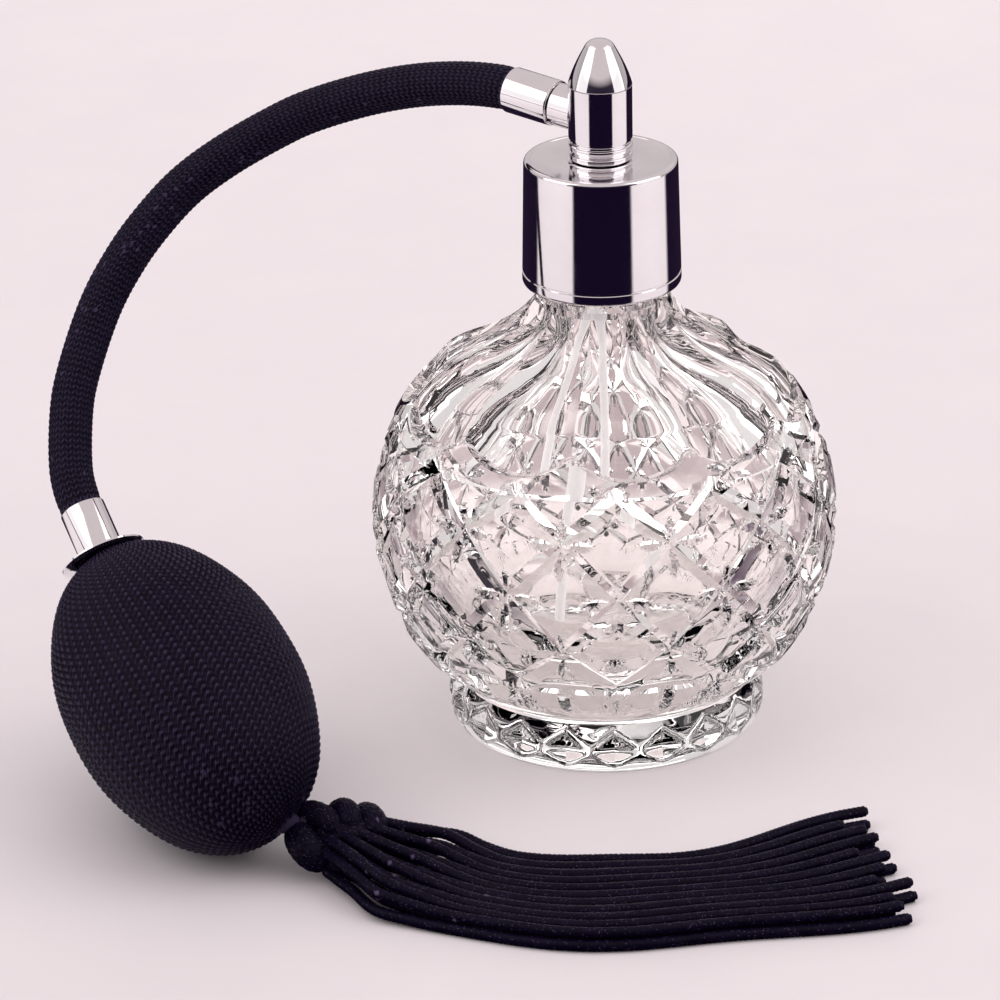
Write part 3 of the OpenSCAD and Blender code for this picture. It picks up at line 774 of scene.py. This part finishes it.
# ---- Materials ----
def material(name, colour, rough, metallic=0.0, **sockets):
    """A Principled material, and its nodes, links and shader."""
    mat = bpy.data.materials.new(name)
    mat.use_nodes = True
    nodes, links = mat.node_tree.nodes, mat.node_tree.links
    shader = nodes["Principled BSDF"]
    shader.inputs["Base Color"].default_value = (*colour, 1)
    shader.inputs["Roughness"].default_value = rough
    shader.inputs["Metallic"].default_value = metallic
    for key, value in sockets.items():
        shader.inputs[key.replace("_", " ")].default_value = value
    return mat, nodes, links, shader


def noise(nodes, links, scale, detail=4.0, rough=0.55, stretch=(1, 1, 1)):
    place = nodes.new("ShaderNodeTexCoord")
    mapping = nodes.new("ShaderNodeMapping")
    mapping.inputs["Scale"].default_value = stretch
    links.new(place.outputs["Object"], mapping.inputs["Vector"])
    grain = nodes.new("ShaderNodeTexNoise")
    grain.inputs["Scale"].default_value = scale
    grain.inputs["Detail"].default_value = detail
    grain.inputs["Roughness"].default_value = rough
    links.new(mapping.outputs["Vector"], grain.inputs["Vector"])
    return grain


def feed(links, value, socket):
    """Link a socket in, or set a plain value."""
    if isinstance(value, bpy.types.NodeSocket):
        links.new(value, socket)
    else:
        socket.default_value = value


def calc(nodes, links, operation, *values, clamp=False):
    node = nodes.new("ShaderNodeMath")
    node.operation = operation
    node.use_clamp = clamp
    for socket, value in zip(node.inputs, values):
        feed(links, value, socket)
    return node.outputs["Value"]


def blended(nodes, links, factor, a, b, how="MIX"):
    """Colour a where the factor is 0, and colour b mixed in by it."""
    node = nodes.new("ShaderNodeMix")
    node.data_type = "RGBA"
    node.blend_type = how
    for key, value in (("Factor", factor), ("A", a), ("B", b)):
        feed(links, value, node.inputs[key])
    return node.outputs["Result"]


def spread(nodes, links, source, low, high, start=0.3, end=0.7):
    """A value that runs from low to high as its source runs from start to end."""
    run = nodes.new("ShaderNodeMapRange")
    for key, value in (("From Min", start), ("From Max", end), ("To Min", low), ("To Max", high)):
        run.inputs[key].default_value = value
    links.new(source, run.inputs["Value"])
    return run.outputs["Result"]


def tint(nodes, links, source, *stops):
    ramp = nodes.new("ShaderNodeValToRGB")
    while len(ramp.color_ramp.elements) < len(stops):
        ramp.color_ramp.elements.new(0.5)
    for element, (at, colour) in zip(ramp.color_ramp.elements, stops):
        element.position = at
        element.color = (*colour, 1)
    links.new(source, ramp.inputs["Fac"])
    return ramp.outputs["Color"]


def bump(nodes, links, shader, height, distance, strength=1.0):
    lift = nodes.new("ShaderNodeBump")
    lift.inputs["Distance"].default_value = distance
    lift.inputs["Strength"].default_value = strength
    links.new(height, lift.inputs["Height"])
    links.new(lift.outputs["Normal"], shader.inputs["Normal"])


def glass_material():
    mat, nodes, links, shader = material("clear_pressed_glass", (0.992, 0.978, 0.974), 0.0,
                                         Transmission_Weight=1.0, IOR=1.52)
    waves = noise(nodes, links, 90, 2.0)
    bump(nodes, links, shader, waves.outputs["Fac"], 0.00012, 0.5)
    smears = noise(nodes, links, 300, 5.0, 0.65)
    links.new(spread(nodes, links, smears.outputs["Fac"], 0.0, 0.035, 0.55, 0.8), shader.inputs["Roughness"])
    # Lamps reach what is behind the glass, as they do through real glass
    clear = nodes.new("ShaderNodeBsdfTransparent")
    clear.inputs["Color"].default_value = (0.95, 0.93, 0.925, 1)
    ray = nodes.new("ShaderNodeLightPath")
    mix = nodes.new("ShaderNodeMixShader")
    links.new(ray.outputs["Is Shadow Ray"], mix.inputs["Fac"])
    links.new(shader.outputs["BSDF"], mix.inputs[1])
    links.new(clear.outputs["BSDF"], mix.inputs[2])
    links.new(mix.outputs["Shader"], nodes["Material Output"].inputs["Surface"])
    return mat


def chrome_material():
    mat, nodes, links, shader = material("polished_chrome", (0.83, 0.815, 0.835), 0.05, 1.0)
    film = noise(nodes, links, 120, 6.0, 0.7)
    links.new(spread(nodes, links, film.outputs["Fac"], 0.035, 0.1), shader.inputs["Roughness"])
    links.new(tint(nodes, links, film.outputs["Fac"], (0.3, (0.85, 0.835, 0.85)), (0.7, (0.79, 0.77, 0.79))),
              shader.inputs["Base Color"])
    fine = noise(nodes, links, 2600, 3.0, 0.6)
    bump(nodes, links, shader, fine.outputs["Fac"], 0.000004, 0.35)
    return mat


def brass_material():
    mat, nodes, links, shader = material("turned_brass", (0.72, 0.52, 0.24), 0.22, 1.0)
    rings = noise(nodes, links, 1800, 3.0, 0.6, (1, 1, 6))
    links.new(spread(nodes, links, rings.outputs["Fac"], 0.16, 0.34), shader.inputs["Roughness"])
    links.new(tint(nodes, links, rings.outputs["Fac"], (0.3, (0.76, 0.56, 0.27)), (0.72, (0.6, 0.41, 0.17))),
              shader.inputs["Base Color"])
    bump(nodes, links, shader, rings.outputs["Fac"], 0.00002, 0.4)
    return mat


def steel_material():
    mat, nodes, links, shader = material("ground_steel", (0.6, 0.6, 0.62), 0.14, 1.0)
    haze = noise(nodes, links, 900, 4.0)
    links.new(spread(nodes, links, haze.outputs["Fac"], 0.09, 0.22), shader.inputs["Roughness"])
    bump(nodes, links, shader, haze.outputs["Fac"], 0.000005, 0.3)
    return mat


def plastic_material(name, light, dark, low, high, **sockets):
    mat, nodes, links, shader = material(name, light, low, **sockets)
    flow = noise(nodes, links, 260, 5.0, 0.6)
    links.new(tint(nodes, links, flow.outputs["Fac"], (0.35, light), (0.7, dark)), shader.inputs["Base Color"])
    links.new(spread(nodes, links, flow.outputs["Fac"], low, high), shader.inputs["Roughness"])
    grain = noise(nodes, links, 4200, 2.0)
    bump(nodes, links, shader, grain.outputs["Fac"], 0.00001, 0.4)
    return mat


def yarn_material(name, deep, pale, painted_glint_colour, crown_highlight_range=(0.512, 0.56)):
    """Dyed yarn: fine fibres and a slight change of dye, with painted highlights: pale glint specks and paler
    stitch crowns painted into its colour.
    """
    mat, nodes, links, shader = material(name, deep, 0.5, Specular_IOR_Level=0.08)
    dye = noise(nodes, links, 420, 4.0, 0.6)
    base = tint(nodes, links, dye.outputs["Fac"], (0.32, deep), (0.68, pale))
    place = nodes.new("ShaderNodeTexCoord")
    # Painted glints: small pale specks painted into the colour in place of highlights on single fibres
    glint_cells = nodes.new("ShaderNodeTexVoronoi")
    glint_cells.inputs["Scale"].default_value = 1900
    links.new(place.outputs["Object"], glint_cells.inputs["Vector"])
    painted_glints = spread(nodes, links, glint_cells.outputs["Distance"], 1.0, 0.0, 0.02, 0.2)
    # Painted highlight: the crowns of the stitches are painted paler, as if they caught the light
    shape = nodes.new("ShaderNodeNewGeometry")
    painted_crown_highlight = spread(nodes, links, shape.outputs["Pointiness"], 0.0, 0.6, *crown_highlight_range)
    painted_highlight_mask = calc(nodes, links, "MAXIMUM", painted_glints, painted_crown_highlight)
    links.new(blended(nodes, links, painted_highlight_mask, base, (*painted_glint_colour, 1)), shader.inputs["Base Color"])
    fibres = noise(nodes, links, 5200, 3.0, 0.7)
    links.new(spread(nodes, links, fibres.outputs["Fac"], 0.26, 0.5), shader.inputs["Roughness"])
    bump(nodes, links, shader, fibres.outputs["Fac"], 0.00009, 0.7)
    return mat


glass_mat, chrome_mat = glass_material(), chrome_material()
brass_mat, steel_mat = brass_material(), steel_material()
white_mat = plastic_material("white_moulded_plastic", (0.82, 0.815, 0.8), (0.76, 0.75, 0.735), 0.3, 0.46)
# Painted glow: the dip tube gives off a faint light of its own, though it is no lamp
glowing_tube_mat = plastic_material("milky_tube_plastic_painted_glow", (0.95, 0.94, 0.94), (0.9, 0.89, 0.89), 0.2, 0.36,
                            Emission_Color=(1, 0.98, 0.98, 1), Emission_Strength=0.35)
gasket_mat = plastic_material("soft_gasket_rubber", (0.03, 0.03, 0.032), (0.05, 0.05, 0.052), 0.5, 0.72)
hose_mat = plastic_material("hose_core_rubber", (0.02, 0.02, 0.022), (0.035, 0.034, 0.037), 0.45, 0.65)
bulb_mat = plastic_material("bulb_rubber", (0.016, 0.014, 0.02), (0.028, 0.025, 0.034), 0.42, 0.6)
braid_mat = yarn_material("knitted_sleeve_yarn", (0.0025, 0.001, 0.008), (0.006, 0.003, 0.016),
                          (0.07, 0.055, 0.12))
net_mat = yarn_material("knitted_net_yarn", (0.002, 0.0008, 0.007), (0.005, 0.0025, 0.014),
                          (0.06, 0.045, 0.1))
thread_mat = yarn_material("binding_thread_black", (0.004, 0.003, 0.008), (0.009, 0.006, 0.015),
                          (0.05, 0.04, 0.08))
tassel_mat = yarn_material("tassel_yarn_black", (0.0015, 0.0006, 0.007), (0.005, 0.0025, 0.015),
                           (0.16, 0.13, 0.25), crown_highlight_range=(0.57, 0.66))


def dress(mat, *objects):
    for ob in objects:
        ob.data.materials.clear()
        ob.data.materials.append(mat)


dress(glass_mat, glass)
dress(chrome_mat, *chrome)
dress(braid_mat, hose)
dress(net_mat, net)
dress(bulb_mat, rubber)
dress(thread_mat, binding)
dress(tassel_mat, knot, *strands)
for mat, names in (
    (chrome_mat, ("turret_body", "hose_nipple", "bulb_stem")),
    (white_mat, ("collar_insert", "sprayer_stem")),
    (glowing_tube_mat, ("dip_tube",)),
    (gasket_mat, ("neck_gasket", "stem_o_ring")),
    (hose_mat, ("hose_core",)),
    (brass_mat, ("nozzle_insert", "outlet_valve_body", "intake_valve_body", "intake_valve_cap")),
    (steel_mat, ("outlet_valve_ball", "intake_valve_ball")),
):
    for name in names:
        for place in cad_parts[name].material_slots:
            place.material = mat

# ---- Floor ----
WARM = (1, 0.965, 0.955)
floor_mesh = bpy.data.meshes.new("floor")
reach = 6.0
floor_mesh.from_pydata([(-reach, -reach, 0), (reach, -reach, 0), (reach, reach, 0), (-reach, reach, 0)], [],
                       [(0, 1, 2, 3)])
floor = bpy.data.objects.new("floor", floor_mesh)
floor.location = (0, 0, -0.00002)
scene.collection.objects.link(floor)
mat, nodes, links, shader = material("pale_floor_with_painted_light", (0.8, 0.78, 0.8), 0.6, Specular_IOR_Level=0.0)
soft = noise(nodes, links, 40, 3.0)
plain = tint(nodes, links, soft.outputs["Fac"], (0.3, (0.8, 0.775, 0.8)), (0.7, (0.78, 0.755, 0.782)))
# Painted reflections: black and white wedges round the table, painted into the floor's colour where reflections
# see it and nowhere else
where = nodes.new("ShaderNodeNewGeometry")
parts = nodes.new("ShaderNodeSeparateXYZ")
links.new(where.outputs["Position"], parts.inputs["Vector"])
forward = calc(nodes, links, "MULTIPLY", parts.outputs["Y"], -1)
turn = calc(nodes, links, "ABSOLUTE", calc(nodes, links, "ARCTAN2", parts.outputs["X"], forward))
round_table = spread(nodes, links, turn, 0, 1, 0, math.pi)
painted_reflection_wedges = tint(nodes, links, round_table, (0.0, (0.008, 0.004, 0.018)), (0.225, (0.008, 0.004, 0.018)),
             (0.245, (0.9, 0.88, 0.9)), (0.57, (0.9, 0.88, 0.9)), (0.6, (0.01, 0.005, 0.02)),
             (1.0, (0.02, 0.012, 0.03)))
ray = nodes.new("ShaderNodeLightPath")
reflected = calc(nodes, links, "SUBTRACT", ray.outputs["Is Glossy Ray"], ray.outputs["Is Transmission Ray"],
                 clamp=True)
# Painted light and shade seen through the glass: the table is painted dark in front and bright behind, with a
# darker ring round it, and bright right under the foot
painted_floor_behind = tint(nodes, links, round_table, (0.0, (0.06, 0.035, 0.075)), (0.38, (0.1, 0.07, 0.11)),
              (0.58, (0.6, 0.55, 0.57)), (0.75, WARM))
far = nodes.new("ShaderNodeVectorMath")
far.operation = "LENGTH"
links.new(where.outputs["Position"], far.inputs[0])
painted_shade_ring = tint(nodes, links, spread(nodes, links, far.outputs["Value"], 0, 1, 0, 0.5), (0.2, (1, 1, 1)),
              (0.3, (0.5, 0.45, 0.47)), (0.62, (0.5, 0.45, 0.47)), (0.8, (1, 1, 1)))
painted_floor_through_glass = blended(nodes, links, spread(nodes, links, far.outputs["Value"], 0.92, 0, 0.035, 0.085),
                blended(nodes, links, 1, painted_floor_behind, painted_shade_ring, "MULTIPLY"), (*WARM, 1))
top = blended(nodes, links, ray.outputs["Is Transmission Ray"],
              blended(nodes, links, reflected, plain, painted_reflection_wedges), painted_floor_through_glass)
links.new(top, shader.inputs["Base Color"])
floor_mesh.materials.append(mat)

# ---- Light: a big soft overhead, two side boxes, a back box and the room ----
world = bpy.data.worlds.new("room")
scene.world = world
world.use_nodes = True
nodes, links = world.node_tree.nodes, world.node_tree.links
ground = nodes["Background"]
place = nodes.new("ShaderNodeTexCoord")
parts = nodes.new("ShaderNodeSeparateXYZ")
links.new(place.outputs["Generated"], parts.inputs["Vector"])
depth_in = spread(nodes, links, parts.outputs["Y"], 0, 1, -1, 1)
room = tint(nodes, links, depth_in, (0.0, (0.03, 0.022, 0.045)), (0.42, (0.07, 0.055, 0.08)),
            (0.62, (0.62, 0.57, 0.58)), (1.0, (0.78, 0.72, 0.73)))
glow = tint(nodes, links, depth_in, (0.0, (0.2, 0.17, 0.19)), (0.4, (0.34, 0.3, 0.32)),
            (0.6, (0.95, 0.9, 0.9)), (1.0, (1, 0.97, 0.96)))
# Straight above it is pale, as a ceiling card
above = blended(nodes, links, spread(nodes, links, parts.outputs["Z"], 0, 1, 0.28, 0.42), room,
                (0.92, 0.81, 0.82, 1))
# The camera itself sees only a plain pale wall, and the glass sees the brighter glow
ray = nodes.new("ShaderNodeLightPath")
seen = blended(nodes, links, ray.outputs["Is Camera Ray"], above, (0.7, 0.67, 0.69, 1))
links.new(blended(nodes, links, ray.outputs["Is Transmission Ray"], seen, glow), ground.inputs["Color"])
ground.inputs["Strength"].default_value = 0.8


def soft_box(name, at, target, wide, high, power, shown=True):
    lamp = bpy.data.lights.new(name, "AREA")
    lamp.shape = "RECTANGLE"
    lamp.size, lamp.size_y = wide, high
    lamp.energy = power
    lamp.color = WARM
    ob = bpy.data.objects.new(name, lamp)
    ob.location = at
    ob.rotation_mode = "QUATERNION"
    ob.rotation_quaternion = (Vector(target) - Vector(at)).to_track_quat("-Z", "Y")
    ob.visible_camera = False
    ob.visible_glossy = shown
    scene.collection.objects.link(ob)


soft_box("overhead", (0.05, 0.1, 1.15), (-0.02, 0, 0.03), 2.2, 2.0, 3.2, False)
soft_box("left_box", (-0.62, -0.2, 0.42), (-0.02, 0, 0.06), 0.62, 0.8, 1.7)
soft_box("right_box", (0.6, -0.18, 0.42), (-0.02, 0, 0.06), 0.62, 0.8, 1.7)
soft_box("back_box", (0.1, 0.8, 0.35), (0, 0, 0.06), 0.9, 0.4, 1.6, False)

scene.view_settings.view_transform = "Standard"
